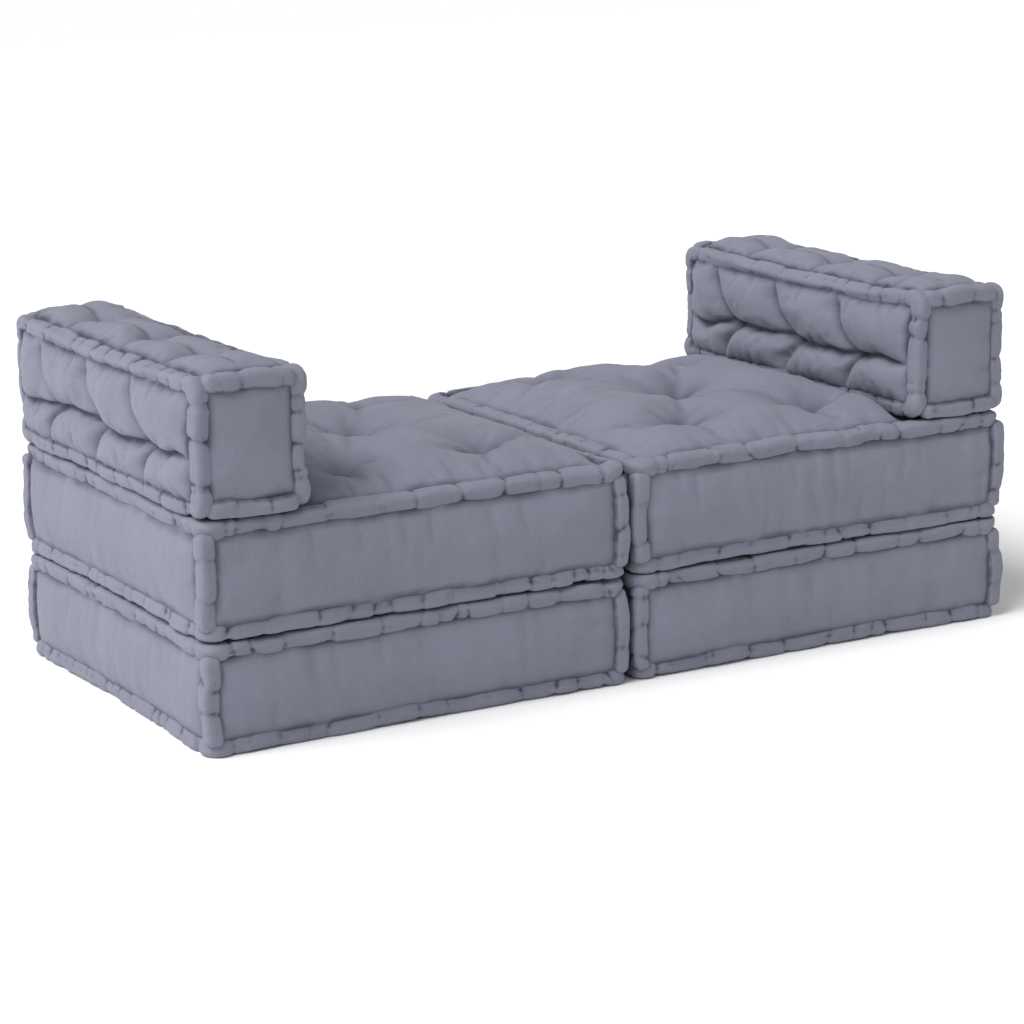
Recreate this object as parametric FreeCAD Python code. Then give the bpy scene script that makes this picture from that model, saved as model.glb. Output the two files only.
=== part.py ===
import FreeCAD
import Part
import math
import os
from FreeCAD import Vector

# Sizes in millimetres. X runs along the sofa, Y from front to rear and Z up from the floor.
module_length = 700.0
module_depth = 670.0
base_height = 165.0
seat_height = 175.0
arm_height = 205.0
arm_thickness = 175.0
module_gap = 10.0
stack_gap = 0.5

# Rolled edges: the long rolls and their corner bends, and the rolls that join them at corners.
roll_radius = 13.0
roll_bend = 17.0
corner_roll_radius = 14.0
rest_flat = 0.5
draw_in = 6.0

# Cover cloth, the room left between sewn pieces and under quilted cloth, and the bulge of plain sides.
cloth = 2.0
fit = 0.3
slack = 1.0
side_bulge = 8.0

# Seat tufts stand in staggered columns; the seat crown dies out under the arm.
tuft_pitch = 120.0
tuft_row = 200.0
seat_crown = 38.0
seat_tuft_depth = 18.0
seat_tuft_spread = 42.0
rest_crown = 10.0
crown_run = 100.0
arm_clear = 10.0

# Arm tufts: three along each tall face, low on the face, and three along the top.
arm_tuft_pitch = 175.0
arm_tuft_height = 85.0
arm_crown = 20.0
arm_tuft_depth = 19.0
arm_tuft_spread = 26.0
arm_channel = 7.0
arm_channel_width = 34.0
arm_top_crown = 22.0
arm_top_tuft_depth = 15.0

# Pressed faces keep shallow round dimples.
dimple_radius = 45.0
dimple_depth = 12.0

twine_radius = 1.5
knot_radius = 5.0
knot_lift = 0.8

# Least rise of any arc in a quilted face, as a share of its width.
camber = 0.002

far = 60.0
origin = Vector(0, 0, 0)
up = Vector(0, 0, 1)
roll_drop = roll_radius - rest_flat
hug = roll_radius + fit
skin = cloth / 2 + fit


def line(p, q):
    return Part.makeLine(p, q)


def arc(p, q, r):
    return Part.Arc(p, q, r).toShape()


def closed_face(edges):
    return Part.Face(Part.Wire(edges))


def box(x0, x1, y0, y1, z0, z1):
    return Part.makeBox(x1 - x0, y1 - y0, z1 - z0, Vector(x0, y0, z0))


def at(shape, u, v):
    moved = shape.copy()
    moved.translate(Vector(u, v, 0))
    return moved


def flipped(shape):
    return shape.mirror(origin, up)


def rod(p, q, radius):
    return Part.makeCylinder(radius, (q - p).Length, p, q - p)


# One side of a cushion: the roll line lies `out` from the middle, is drawn in halfway along and
# ends in the corner bends, whose centres stand `half` from the middle of the side.
def side_of(turn, middle, out, half, draw):
    lean = 2 * math.atan(draw / half)
    radius = half / math.sin(lean) - roll_bend if draw else 0
    return dict(turn=turn, middle=middle, out=out, half=half, draw=draw, lean=lean, radius=radius)


def sides_of(u_size, v_size, w_size, rests):
    u_out = u_size / 2 - roll_radius
    v_out = v_size / 2 - roll_radius
    v_low = v_size / 2 - (roll_drop if rests else roll_radius)
    middle = (v_out - v_low) / 2
    u_half = u_out - roll_bend
    v_half = (v_out + v_low) / 2 - roll_bend
    return [
        side_of(0, 0, v_out, u_half, draw_in),
        side_of(90, middle, u_out, v_half, draw_in),
        side_of(180, 0, v_low, u_half, 0 if rests else draw_in),
        side_of(270, -middle, u_out, v_half, draw_in),
    ]


# How far the roll line is drawn in, at a distance from the middle of the side.
def drawn(side, t):
    if side["draw"] == 0:
        return 0
    return side["radius"] - math.sqrt(side["radius"] ** 2 - t ** 2) - side["draw"]


# Carry a profile along a side: Y is outward from the roll line and Z along the height. The reach
# is measured at the given depth inside the roll line, where a drawn-in piece is longest.
def carry(face, side, reach, depth):
    piece = face.copy()
    if side["draw"] == 0:
        piece.translate(Vector(-reach, 0, 0))
        piece = piece.extrude(Vector(2 * reach, 0, 0))
    else:
        turn = math.degrees(math.asin(reach / (side["radius"] + depth)))
        axis = Vector(0, side["radius"] - side["draw"], 0)
        piece.translate(Vector(0, -side["draw"], 0))
        piece.rotate(axis, up, -turn)
        piece = piece.revolve(axis, up, 2 * turn)
    piece.translate(Vector(side["middle"], side["out"], 0))
    piece.rotate(origin, up, side["turn"])
    return piece


def turned(side, x, y, z):
    angle = math.radians(side["turn"])
    x += side["middle"]
    c = math.cos(angle)
    s = math.sin(angle)
    return Vector(x * c - y * s, x * s + y * c, z)


# Closed line that follows the four roll lines and their corner bends, set in by a given amount.
def outline(sides, inset, level):
    bend = roll_bend - inset
    edges = []
    for side, after in zip(sides, sides[1:] + sides[:1]):
        y = side["out"] - roll_bend
        start = math.pi / 2 - side["lean"]
        sweep = math.pi / 2 + side["lean"] + after["lean"]
        x_end = side["half"] - bend * math.cos(start)
        y_end = y + bend * math.sin(start)
        right = turned(side, x_end, y_end, level)
        left = turned(side, -x_end, y_end, level)
        if side["draw"] == 0:
            edges.append(line(right, left))
        else:
            edges.append(arc(right, turned(side, 0, side["out"] - inset - side["draw"], level), left))
        points = []
        for share in (0, 0.5, 1):
            angle = start + sweep * share
            x = bend * math.cos(angle) - side["half"]
            points.append(turned(side, x, y + bend * math.sin(angle), level))
        edges.append(arc(*points))
    return Part.Wire(edges)


# Where the rolls that join two rings stand: under the middle of each corner bend.
def corners_of(sides):
    reach = roll_bend * math.sqrt(0.5)
    return [turned(s, -s["half"] - reach, s["out"] - roll_bend + reach, 0) for s in sides]


def bend_centres(sides, level):
    return [turned(s, -s["half"], s["out"] - roll_bend, level) for s in sides]


def side_reach(side):
    return side["half"] + roll_bend * math.sqrt(0.5) - corner_roll_radius - fit


# The main body of a filling stops short of the rolls at its two ends.
def body_end(sides):
    return min(sides[1]["out"] - draw_in - hug, side_reach(sides[0]))


def side_panel(level, side, bulge):
    end = level - hug
    outer = cloth / 2
    inner = -cloth / 2
    profile = closed_face([
        arc(Vector(0, outer, -end), Vector(0, outer + bulge, 0), Vector(0, outer, end)),
        line(Vector(0, outer, end), Vector(0, inner, end)),
        arc(Vector(0, inner, end), Vector(0, inner + bulge, 0), Vector(0, inner, -end)),
        line(Vector(0, inner, -end), Vector(0, outer, -end)),
    ])
    return carry(profile, side, side_reach(side), cloth / 2)


# Pad of filling that backs an end panel and runs into the main body of the filling.
def end_pad(level, side, end):
    high = level - hug
    depth = side["out"] - end + cloth
    profile = closed_face([
        arc(Vector(0, -skin, -high), Vector(0, side_bulge - skin, 0), Vector(0, -skin, high)),
        line(Vector(0, -skin, high), Vector(0, -depth, high)),
        line(Vector(0, -depth, high), Vector(0, -depth, -high)),
        line(Vector(0, -depth, -high), Vector(0, -skin, -high)),
    ])
    return carry(profile, side, side_reach(side), depth)


# A quilted face is a loft through cross-sections, each a chain of arcs over the pillows.
def chain(points):
    edges = []
    for i in range(0, len(points) - 2, 2):
        edges.append(arc(points[i], points[i + 1], points[i + 2]))
    return edges


def both_ways(marks):
    return [-m for m in marks[:0:-1]] + marks


def with_middles(breaks):
    spots = []
    for b0, b1 in zip(breaks, breaks[1:]):
        spots += [b0, (b0 + b1) / 2]
    return spots + [breaks[-1]]


# Heights over a row of break points; each middle is lifted a little so that no arc is flat.
def heights(surface, a, breaks):
    spots = with_middles(breaks)
    lift = [camber * abs(breaks[i // 2 + 1] - breaks[i // 2]) if i % 2 else 0 for i in range(len(spots))]
    return [(b, surface(a, b) + rise) for b, rise in zip(spots, lift)]


def quilted_sheet(stations, breaks, surface):
    wires = []
    for a in stations:
        row = heights(surface, a, breaks)
        top = [Vector(a, b, h) for b, h in row]
        under = [Vector(a, b, h - cloth) for b, h in row[::-1]]
        wires.append(Part.Wire(
            chain(top) + [line(top[-1], under[0])] + chain(under) + [line(under[-1], top[0])]))
    return Part.makeLoft(wires, True, False)


# A quilted face is cut to the line of the rolls and pierced for the ties.
def trimmed(sheet, sides, level, holes):
    trim = Part.Face(outline(sides, hug, level - far)).extrude(up * 2 * far)
    return sheet.common(trim.cut(holes))


# A pressed face is a flat sheet; each tuft in it is a round dimple of two arcs.
def dimple_edges(level):
    half = dimple_radius / 2
    bend = (half ** 2 + (dimple_depth / 2) ** 2) / dimple_depth
    swing = math.asin(half / bend) / 2
    run = bend * math.sin(swing)
    rise = bend * (1 - math.cos(swing))
    hole = twine_radius + fit
    floor = level - dimple_depth
    start = floor + bend - math.sqrt(bend ** 2 - hole ** 2)
    halfway = Vector(half, 0, level - dimple_depth / 2)
    rim = Vector(dimple_radius, 0, level)
    return [
        arc(rim, Vector(dimple_radius - run, 0, level - rise), halfway),
        arc(halfway, Vector(run, 0, floor + rise), Vector(hole, 0, start)),
    ], start


def dimple_sheet(level):
    upper, start = dimple_edges(level)
    lower, low_start = dimple_edges(level - cloth)
    hole = twine_radius + fit
    edges = upper + [line(Vector(hole, 0, start), Vector(hole, 0, low_start))] + lower
    edges.append(line(Vector(dimple_radius, 0, level - cloth), Vector(dimple_radius, 0, level)))
    return closed_face(Part.__sortEdges__(edges)).revolve(origin, up, 360)


def dimple_waste(level):
    edges, start = dimple_edges(level)
    low = Vector(0, 0, start)
    high = Vector(0, 0, level + far)
    rim = Vector(dimple_radius, 0, level)
    over = Vector(dimple_radius, 0, level + far)
    edges += [line(edges[1].Vertexes[1].Point, low), line(low, high), line(high, over), line(over, rim)]
    return closed_face(Part.__sortEdges__(edges)).revolve(origin, up, 360)


# Smooth falls used by the quilted faces.
def crown_fall(t):
    return 1 - min(abs(t), 1) ** 4


def dip(distance, spread):
    return math.exp(-(distance / spread) ** 2 / 2)


def ease(t):
    t = min(max(t, 0), 1)
    return t * t * (3 - 2 * t)


# Twine through the filling, with a knot at each given end.
def tie(p, q, knots):
    solid = rod(p, q, twine_radius)
    for centre in knots:
        solid = solid.fuse(Part.makeSphere(knot_radius, centre))
    return solid.removeSplitter()


# Rolls of a cushion: a ring round each of two opposite faces, and four rolls that join them.
def cushion_rolls(sides, level, keep):
    rings = []
    for z in (level, -level):
        path = outline(sides, 0, z)
        start = path.Edges[0].firstVertex().Point
        tangent = path.Edges[0].tangentAt(path.Edges[0].FirstParameter)
        profile = Part.Wire(Part.Circle(start, tangent, roll_radius).toShape())
        rings.append(path.makePipeShell([profile], True, False).common(keep))
    joins = []
    end = level - roll_radius / 2
    for spot, centre in zip(corners_of(sides), bend_centres(sides, 0)):
        roll = Part.makeCylinder(corner_roll_radius, 2 * end, spot - up * end)
        saddles = [Part.makeTorus(roll_bend, hug, centre + up * z) for z in (-level, level)]
        joins.append(max(roll.cut(saddles).common(keep).Solids, key=lambda s: s.Volume))
    return rings[0], rings[1], Part.makeCompound(joins)


# Cove of the filling round a roll, from one point on it to another.
def cove(centre, p, q):
    middle = (p - centre) + (q - centre)
    middle.normalize()
    return arc(p, centre + middle * hug, q)


def on_roll(centre, along, depth, across):
    return centre + along * math.sqrt(hug ** 2 - depth ** 2) - across * depth


def mattress_tufts():
    spots = []
    for i in range(4):
        rows = (-tuft_row, tuft_row) if i % 2 == 0 else (0,)
        spots += [((i - 1.5) * tuft_pitch, v) for v in rows]
    return spots


# Seat surface above the roll line: the crown less the dimples, low where the arm stands.
def seat_surface(u, v):
    u_edge = module_length / 2 - 2 * roll_radius
    v_edge = module_depth / 2 - 2 * roll_radius
    free = module_length / 2 - arm_thickness - arm_clear
    crown = rest_crown + (seat_crown - rest_crown) * ease((free - u) / crown_run)
    dips = sum(dip(math.hypot(u - a, v - b), seat_tuft_spread) for a, b in mattress_tufts())
    return cloth / 2 + crown * crown_fall(u / u_edge) * crown_fall(v / v_edge) - seat_tuft_depth * dips


def seat_breaks(edge):
    rim = module_depth / 2 - 2 * roll_radius
    marks = [0, tuft_row / 2, tuft_row, tuft_row + 0.5 * (rim - tuft_row), edge]
    return both_ways(marks)


def seat_stations(edge):
    rim = module_length / 2 - 2 * roll_radius
    last = 1.5 * tuft_pitch
    marks = [i * tuft_pitch / 2 for i in range(4)]
    marks += [last + share * (rim - last) for share in (0.35, 0.65, 0.85)]
    return both_ways(marks + [edge])


# Section of the filling of a mattress at one place along it.
def mattress_section(u, side, half, quilted_top):
    level = half - roll_drop
    floor = cloth + fit - half
    roll = side["out"] + drawn(side, u)
    edges = []
    v_axis = Vector(0, 1, 0)
    tops = []
    for sign in (-1, 1):
        centre = Vector(u, sign * roll, level)
        depth = cloth + slack - seat_surface(u, sign * (roll - hug)) if quilted_top else 0
        tops.append(on_roll(centre, v_axis * -sign, depth, up))
    if quilted_top:
        row = heights(seat_surface, u, seat_breaks(roll - hug))
        points = [Vector(u, b, level + h - cloth - slack) for b, h in row]
        points[0] = tops[0]
        points[-1] = tops[1]
        edges += chain(points)
    else:
        high = [Vector(u, p.y, half - cloth - fit) for p in tops]
        edges += [line(tops[0], high[0]), line(high[0], high[1]), line(high[1], tops[1])]
    lows = []
    for sign, top in ((1, tops[1]), (-1, tops[0])):
        centre = Vector(u, sign * roll, level)
        under = Vector(u, sign * roll, -level)
        a = centre + Vector(0, -sign * skin, -math.sqrt(hug ** 2 - skin ** 2))
        b = Vector(u, a.y, -a.z)
        c = under - v_axis * sign * hug
        d = Vector(u, c.y, floor)
        run = [cove(centre, top, a), arc(a, Vector(u, a.y + sign * side_bulge, 0), b), cove(under, b, c)]
        run.append(line(c, d))
        lows.append(d)
        edges += run
        if sign == 1:
            edges.append(line(d, Vector(u, -d.y, floor)))
    return Part.Wire(Part.__sortEdges__(edges))


def mattress(height, quilted_top):
    sides = sides_of(module_length, module_depth, height, False)
    half = height / 2
    level = half - roll_drop
    keep = box(-module_length, module_length, -module_depth, module_depth, -half, half)
    top_ring, bottom_ring, joins = cushion_rolls(sides, level, keep)
    tufts = mattress_tufts()

    inset = math.sqrt(roll_radius ** 2 - (roll_drop - cloth) ** 2) + fit
    pressed = Part.Face(outline(sides, inset, half - cloth)).extrude(up * cloth)
    plug = Part.makeCylinder(dimple_radius, far, Vector(0, 0, half - far / 2))
    pressed = pressed.cut([at(plug, u, v) for u, v in tufts])
    pressed = pressed.multiFuse([at(dimple_sheet(half), u, v) for u, v in tufts])

    end = body_end(sides)
    sections = [mattress_section(u, sides[0], half, quilted_top) for u in seat_stations(end)]
    body = Part.makeLoft(sections, True, False)
    pads = [end_pad(level, s, end) for s in (sides[1], sides[3])]
    waste = [at(flipped(dimple_waste(half - cloth - fit)), u, v) for u, v in tufts]
    if quilted_top:
        edge_u = module_length / 2 - 2 * roll_radius
        edge_v = module_depth / 2 - 2 * roll_radius
        top = quilted_sheet(seat_stations(edge_u), seat_breaks(edge_v), seat_surface)
        top.translate(up * level)
        heads = [level + seat_surface(u, v) for u, v in tufts]
    else:
        top = pressed
        waste += [at(dimple_waste(half - cloth - fit), u, v) for u, v in tufts]
        heads = [half - dimple_depth for spot in tufts]
    holes = []
    ties = []
    for (u, v), head in zip(tufts, heads):
        low = Vector(u, v, dimple_depth - knot_radius - knot_lift - half)
        high = Vector(u, v, head + knot_radius + knot_lift)
        holes.append(rod(low, high, twine_radius + fit))
        ties.append(tie(low, high, [low, high]))
    if quilted_top:
        top = trimmed(top, sides, level, holes)
    return {
        "top_panel": top,
        "bottom_panel": flipped(pressed),
        "side_panels": Part.makeCompound([side_panel(level, s, side_bulge) for s in sides]),
        "top_roll": top_ring,
        "bottom_roll": bottom_ring,
        "corner_rolls": joins,
        "filling": body.cut(waste + holes).multiFuse(pads),
        "tuft_ties": Part.makeCompound(ties),
    }


def arm_tuft_columns():
    return [-arm_tuft_pitch, 0, arm_tuft_pitch]


def arm_stations(edge):
    near = arm_channel_width
    rim = module_depth / 2 - 2 * roll_radius
    last = arm_tuft_pitch + near
    marks = [0, near, arm_tuft_pitch / 2, arm_tuft_pitch - near, arm_tuft_pitch, last]
    marks += [last + share * (rim - last) for share in (0.4, 0.75)]
    return both_ways(marks + [edge])


# Tall arm face above the roll line: crown, channels through the tufts and the tufts themselves.
def arm_face_surface(u, v):
    u_edge = module_depth / 2 - 2 * roll_radius
    top = arm_height / 2 - 2 * roll_radius
    bottom = roll_drop + roll_radius - arm_height / 2
    middle = (top + bottom) / 2
    row = arm_tuft_height - arm_height / 2
    across = crown_fall((v - middle) / (top - middle))
    along = crown_fall(u / u_edge)
    sink = arm_channel * dip(v - row, arm_channel_width / 2) * along
    for column in arm_tuft_columns():
        sink += arm_channel * dip(u - column, arm_channel_width / 2) * across
        sink += arm_tuft_depth * dip(math.hypot(u - column, v - row), arm_tuft_spread)
    return cloth / 2 + arm_crown * across * along - sink


# Top of the arm above its own roll line.
def arm_top_surface(u, w):
    u_edge = module_depth / 2 - 2 * roll_radius
    w_edge = arm_thickness / 2 - roll_drop - roll_radius
    swell = arm_top_crown * crown_fall(u / u_edge) * crown_fall(w / w_edge)
    sink = sum(dip(math.hypot(u - column, w), arm_tuft_spread) for column in arm_tuft_columns())
    return cloth / 2 + swell - arm_top_tuft_depth * sink


def arm_face_breaks(low, high):
    row = arm_tuft_height - arm_height / 2
    return [low, (low + row) / 2, row, (row + high) / 2, high]


def arm_top_breaks(edge):
    return [-edge, -edge / 2, 0, edge / 2, edge]


# Section of the filling of an arm: both tall faces, the top and the bottom, coved at the rolls.
def arm_section(u, sides, level, bottom_bulge):
    v_axis = Vector(0, 1, 0)
    high = sides[0]["out"] + drawn(sides[0], u)
    low = -sides[2]["out"]
    under = cloth + slack
    face_row = heights(arm_face_surface, u, arm_face_breaks(low + hug, high - hug))
    top_row = heights(arm_top_surface, u, arm_top_breaks(level - hug))
    top = [Vector(u, high + h - under, w) for w, h in top_row]
    edges = []
    feet = []
    for sign in (1, -1):
        upper = Vector(u, high, sign * level)
        lower = Vector(u, low, sign * level)
        face = [Vector(u, v, sign * (level + h - under)) for v, h in face_row]
        face[0] = on_roll(lower, v_axis, under - face_row[0][1], up * sign)
        face[-1] = on_roll(upper, v_axis * -1, under - face_row[-1][1], up * sign)
        end = -1 if sign == 1 else 0
        top[end] = on_roll(upper, up * -sign, under - top_row[end][1], v_axis)
        foot = lower + v_axis * skin - up * sign * math.sqrt(hug ** 2 - skin ** 2)
        edges += chain(face) + [cove(upper, face[-1], top[end]), cove(lower, face[0], foot)]
        feet.append(foot)
    edges += chain(top)
    edges.append(arc(feet[0], Vector(u, low + skin - bottom_bulge, 0), feet[1]))
    return Part.Wire(Part.__sortEdges__(edges))


def arm():
    sides = sides_of(module_depth, arm_height, arm_thickness, True)
    half = arm_thickness / 2
    level = half - roll_drop
    keep = box(-module_depth, module_depth, -arm_height / 2, arm_height, -half, half)
    outer_ring, inner_ring, joins = cushion_rolls(sides, level, keep)
    row = arm_tuft_height - arm_height / 2
    high = arm_height / 2 - 2 * roll_radius
    low = roll_drop + roll_radius - arm_height / 2
    edge_u = module_depth / 2 - 2 * roll_radius
    sheet = quilted_sheet(arm_stations(edge_u), arm_face_breaks(low, high), arm_face_surface)
    sheet.translate(up * level)
    bottom_bulge = roll_drop - skin
    bottom = side_panel(level, sides[2], bottom_bulge)
    ends = [side_panel(level, s, side_bulge) for s in (sides[1], sides[3])]

    # The top is quilted across the thickness, so it is laid flat, then stood on the upper side.
    stand = FreeCAD.Placement(Vector(0, sides[0]["out"], 0), FreeCAD.Rotation(Vector(1, 0, 0), -90))
    top = quilted_sheet(arm_stations(side_reach(sides[0])), arm_top_breaks(level - hug),
                        lambda u, w: arm_top_surface(u, w) + drawn(sides[0], u))
    top.Placement = stand

    end = body_end(sides)
    sections = [arm_section(u, sides, level, bottom_bulge) for u in arm_stations(end)]
    body = Part.makeLoft(sections, True, False)
    pads = [end_pad(level, s, end) for s in (sides[1], sides[3])]

    ties = []
    holes = []
    shafts = []
    for column in arm_tuft_columns():
        head = level + arm_face_surface(column, row) + knot_radius + knot_lift
        near = Vector(column, row, head)
        away = Vector(column, row, -head)
        ties.append(tie(away, near, [away, near]))
        holes.append(rod(away, near, twine_radius + fit))
        crest_v = sides[0]["out"] + drawn(sides[0], column) + arm_top_surface(column, 0)
        crest = Vector(column, crest_v + knot_radius + knot_lift, 0)
        socket = Vector(column, row + 2 * twine_radius + fit, 0)
        ties.append(tie(socket + Vector(0, fit, 0), crest, [crest]))
        shafts.append(rod(socket, crest, twine_radius + fit))
    outer = trimmed(sheet, sides, level, holes)
    return {
        "outer_panel": outer,
        "inner_panel": flipped(outer),
        "top_panel": top.cut(shafts),
        "bottom_panel": bottom,
        "end_panels": Part.makeCompound(ends),
        "outer_roll": outer_ring,
        "inner_roll": inner_ring,
        "cross_rolls": joins,
        "filling": body.cut(holes + shafts).multiFuse(pads),
        "tuft_ties": Part.makeCompound(ties),
    }


def place(shape, placement):
    moved = shape.copy()
    moved.Placement = placement.multiply(moved.Placement)
    return moved


# Stack one module on the right of the middle plane; the left one is its mirror image.
module_middle = (module_gap + module_length) / 2
seat_floor = base_height + stack_gap
arm_floor = seat_floor + seat_height + stack_gap
arm_middle = module_middle + (module_length - arm_thickness) / 2
upright = FreeCAD.Rotation()
on_end = FreeCAD.Rotation(Vector(0, 1, 0), Vector(0, 0, 1), Vector(1, 0, 0), "XYZ")

cushions = {
    "base": (mattress(base_height, False), Vector(module_middle, 0, base_height / 2), upright),
    "seat": (mattress(seat_height, True), Vector(module_middle, 0, seat_floor + seat_height / 2), upright),
    "arm": (arm(), Vector(arm_middle, 0, arm_floor + arm_height / 2), on_end),
}

os.makedirs("parts", exist_ok=True)
for cushion, (pieces, position, rotation) in cushions.items():
    for piece, shape in pieces.items():
        right = place(shape, FreeCAD.Placement(position, rotation))
        left = right.mirror(origin, Vector(1, 0, 0))
        right.exportStep("parts/right_" + cushion + "_" + piece + ".step")
        left.exportStep("parts/left_" + cushion + "_" + piece + ".step")
        print(cushion, piece, len(shape.Solids), shape.isValid(), round(shape.Volume))
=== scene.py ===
import math
import time
import bpy
from mathutils import Matrix, Vector
import numpy as np


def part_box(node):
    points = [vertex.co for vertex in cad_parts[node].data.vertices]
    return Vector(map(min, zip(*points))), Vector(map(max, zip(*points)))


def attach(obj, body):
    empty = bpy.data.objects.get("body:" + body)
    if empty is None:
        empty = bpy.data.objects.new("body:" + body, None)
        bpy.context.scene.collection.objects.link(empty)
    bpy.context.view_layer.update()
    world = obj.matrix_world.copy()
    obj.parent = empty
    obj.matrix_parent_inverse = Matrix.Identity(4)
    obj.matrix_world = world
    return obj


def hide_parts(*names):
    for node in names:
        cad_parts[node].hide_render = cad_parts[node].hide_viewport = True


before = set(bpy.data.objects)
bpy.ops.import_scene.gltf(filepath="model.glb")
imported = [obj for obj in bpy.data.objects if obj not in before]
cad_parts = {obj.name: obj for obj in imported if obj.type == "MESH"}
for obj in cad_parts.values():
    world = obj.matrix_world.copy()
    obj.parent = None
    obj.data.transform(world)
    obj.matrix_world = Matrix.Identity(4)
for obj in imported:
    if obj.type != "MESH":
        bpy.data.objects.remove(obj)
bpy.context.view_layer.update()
scene = bpy.context.scene
turn = 2 * math.pi
started = time.time()
print(f"stage: frame loaded, {time.time() - started:.1f} s")


# Sum of sines along seeded directions, with wavelengths between the two given, at about unit spread.
def waves(points, seed, shortest, longest, count=14):
    rng = np.random.default_rng(seed)
    directions = rng.normal(size=(count, points.shape[1]))
    directions /= np.linalg.norm(directions, axis=1, keepdims=True)
    lengths = np.exp(rng.uniform(math.log(shortest), math.log(longest), count))
    phases = rng.uniform(0, turn, count)
    steps = points @ (directions * (turn / lengths)[:, None]).T + phases
    return np.sin(steps).sum(axis=1) / math.sqrt(count / 2)


# Quarter-circle rise from 0 at an edge to 1 at the given distance from it.
def ramp(distance, reach):
    return np.sqrt(1 - (1 - np.clip(distance / reach, 0, 1)) ** 2)


# Six tenths of a quarter sine and four tenths of a quarter circle, from 0 at an edge to 1 at the given
# distance from it.
def crown(distance, reach):
    return 0.6 * np.sin(np.clip(distance / reach, 0, 1) * turn / 4) + 0.4 * ramp(distance, reach)


# Smooth step from 0 to 1 between two values: three times the square less twice the cube.
def ease(value, start, end):
    share = np.clip((value - start) / (end - start), 0, 1)
    return share * share * (3 - 2 * share)


# A sum with one more exponential fall over distance for each pair of a height and a reach.
def falls(total, distance, *pairs):
    for height, reach in pairs:
        total = total + height * np.exp(-distance / reach)
    return total


# Vectors divided by their lengths.
def unit(vectors):
    return vectors / np.maximum(np.linalg.norm(vectors, axis=-1, keepdims=True), 1e-9)


# How hollow a mesh is at each point: four times the sum of the steps to its neighbours along its
# normal, over the sum of their squared lengths, averaged twice with the neighbours. It is a curvature,
# positive in a fold and negative on a crest.
def hollowness(mesh, points):
    count = len(points)
    ends = np.empty(len(mesh.edges) * 2, np.int32)
    mesh.edges.foreach_get("vertices", ends)
    one, two = ends.reshape(-1, 2).T
    normals = np.empty(count * 3, np.float32)
    mesh.vertex_normals.foreach_get("vector", normals)
    normals = normals.reshape(-1, 3)
    steps = points[two] - points[one]
    squares = (steps ** 2).sum(axis=1)
    rise = np.bincount(one, (steps * normals[one]).sum(axis=1), count)
    rise -= np.bincount(two, (steps * normals[two]).sum(axis=1), count)
    spread = np.bincount(one, squares, count) + np.bincount(two, squares, count)
    bend = 4 * rise / np.maximum(spread, 1e-12)
    degree = np.bincount(one, minlength=count) + np.bincount(two, minlength=count)
    for _ in range(2):
        total = np.bincount(one, bend[two], count) + np.bincount(two, bend[one], count)
        bend = 0.5 * bend + 0.5 * total / np.maximum(degree, 1)
    return bend


# Painted shade from the bend of the surface: darker in hollows, lighter on crests.
foldShade = {"hollow": 0.7, "hollowBend": 170, "crest": 0.22, "crestBend": 260}


# Mesh object at the origin from points and polygons, smooth shaded, with a weave map in metres and
# the painted shade of its folds, which is deeper where the surface is hollow, with painted light on its
# crests.
def makePiece(name, points, polygons, weave, shades):
    mesh = bpy.data.meshes.new(name)
    mesh.from_pydata(points.tolist(), [], polygons)
    bend = hollowness(mesh, points)
    shades = shades + foldShade["hollow"] * np.clip(bend / foldShade["hollowBend"], 0, 1)
    shades = shades - foldShade["crest"] * np.clip(-bend / foldShade["crestBend"], 0, 1)
    mesh.uv_layers.new(name="weave").data.foreach_set("uv", np.asarray(weave, np.float32).ravel())
    shades = np.clip(shades, 0, 1).astype(np.float32)
    # The painted shade is stored in the crease attribute, which the cloth turns into painted shade and light.
    mesh.attributes.new("crease", "FLOAT", "POINT").data.foreach_set("value", shades)
    mesh.shade_smooth()
    piece = bpy.data.objects.new(name, mesh)
    scene.collection.objects.link(piece)
    return piece


# Shapes joined into one: points, weave and shades in a row, and polygon indices moved along.
def joined(shapes):
    polygons, offset = [], 0
    for shape in shapes:
        polygons += [[index + offset for index in polygon] for polygon in shape[1]]
        offset += len(shape[0])
    points, weave, shades = (np.concatenate([shape[k] for shape in shapes]) for k in (0, 2, 3))
    return points, polygons, weave, shades


# Sets each named socket of a node to a constant, or links it from another node's output.
def feed(tree, node, sockets):
    for key, value in sockets.items():
        if isinstance(value, bpy.types.NodeSocket):
            tree.links.new(value, node.inputs[key])
        else:
            node.inputs[key].default_value = value
    return node


# New shader node, whose settings are made before its sockets are fed.
def addNode(tree, kind, sockets, **settings):
    node = tree.nodes.new(kind)
    for key, value in settings.items():
        setattr(node, key, value)
    return feed(tree, node, sockets)


# Colour ramp through the given stops, each a position and a colour.
def setRamp(node, stops):
    elements = node.color_ramp.elements
    while len(elements) < len(stops):
        elements.new(0.5)
    for element, (position, colour) in zip(elements, stops):
        element.position = position
        element.color = [*colour, 1]


clothLook = {
    "colour": (0.219, 0.226, 0.285),
    "sheen": 0.12,
    "sheenRoughness": 0.45,
    "specular": 0.12,
    "roughness": (0.82, 0.98),
    "threadGap": (0.86, 0.86, 0.88),
    "slubScale": (55, 620, 1),
    "slubShare": 0.45,
    "patchShare": 0.55,
    # Ends of the painted light and shade ramp: a painted highlight on crests and painted shade in creases.
    "crest": (1.06, 1.06, 1.05),
    "crease": (0.34, 0.34, 0.39),
}
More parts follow.
